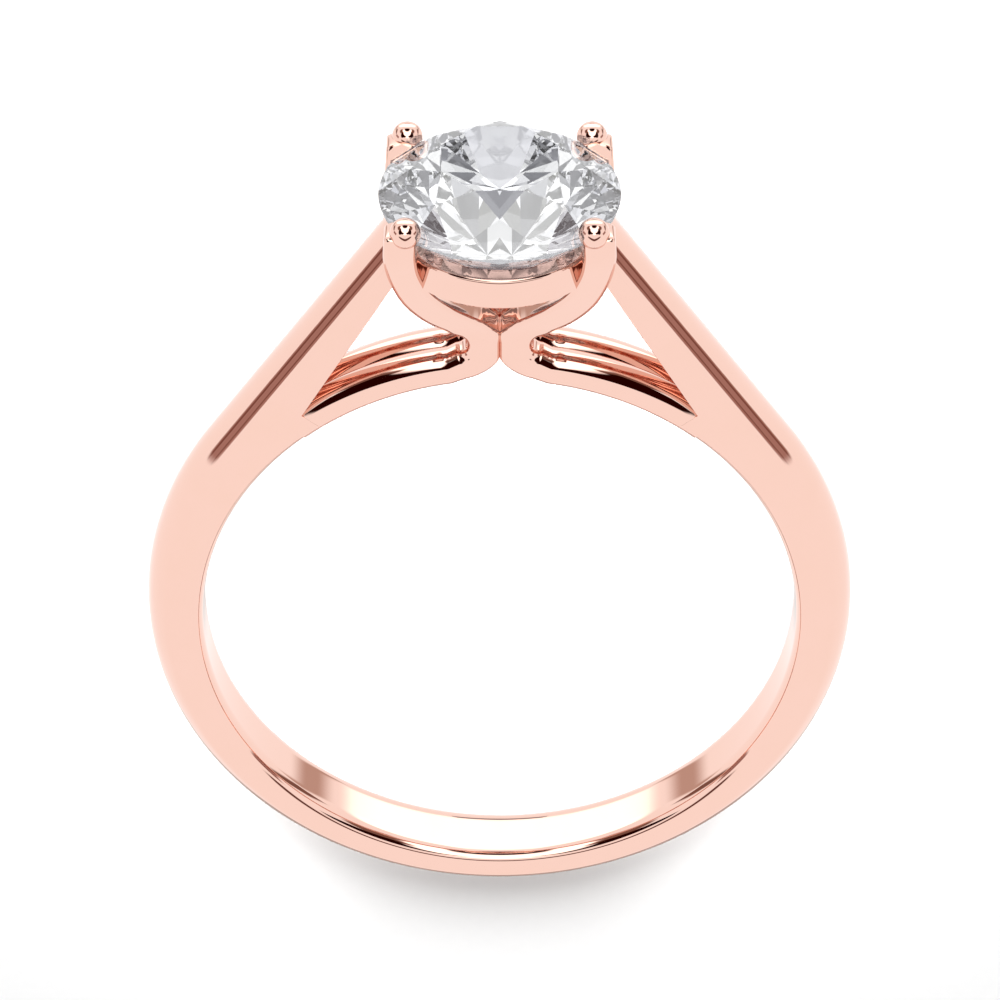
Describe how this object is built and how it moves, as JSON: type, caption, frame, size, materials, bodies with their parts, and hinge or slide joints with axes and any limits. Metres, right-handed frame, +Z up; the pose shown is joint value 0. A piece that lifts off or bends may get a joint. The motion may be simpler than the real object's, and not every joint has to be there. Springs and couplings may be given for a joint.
{
  "type": "solitaire engagement ring",
  "caption": "Solitaire ring with a domed cathedral band whose split rails turn up into ball-tipped prongs round a brilliant-cut stone, lying on its side.",
  "frame": {"origin": "middle of the ring's box on the surface that it lies on", "axes": "+Z up from the surface, +Y from the foot of the shank towards the stone, +X to the right seen from above with the stone up"},
  "size_m": [0.0196, 0.0244, 0.0064],
  "materials": {
    "rose_gold": "mirror polished rose gold",
    "diamond": "cut and polished facets"
  },
  "bodies": {
    "root": {"ring_mount": "rose_gold", "diamond": "diamond"}
  },
  "joints": []
}
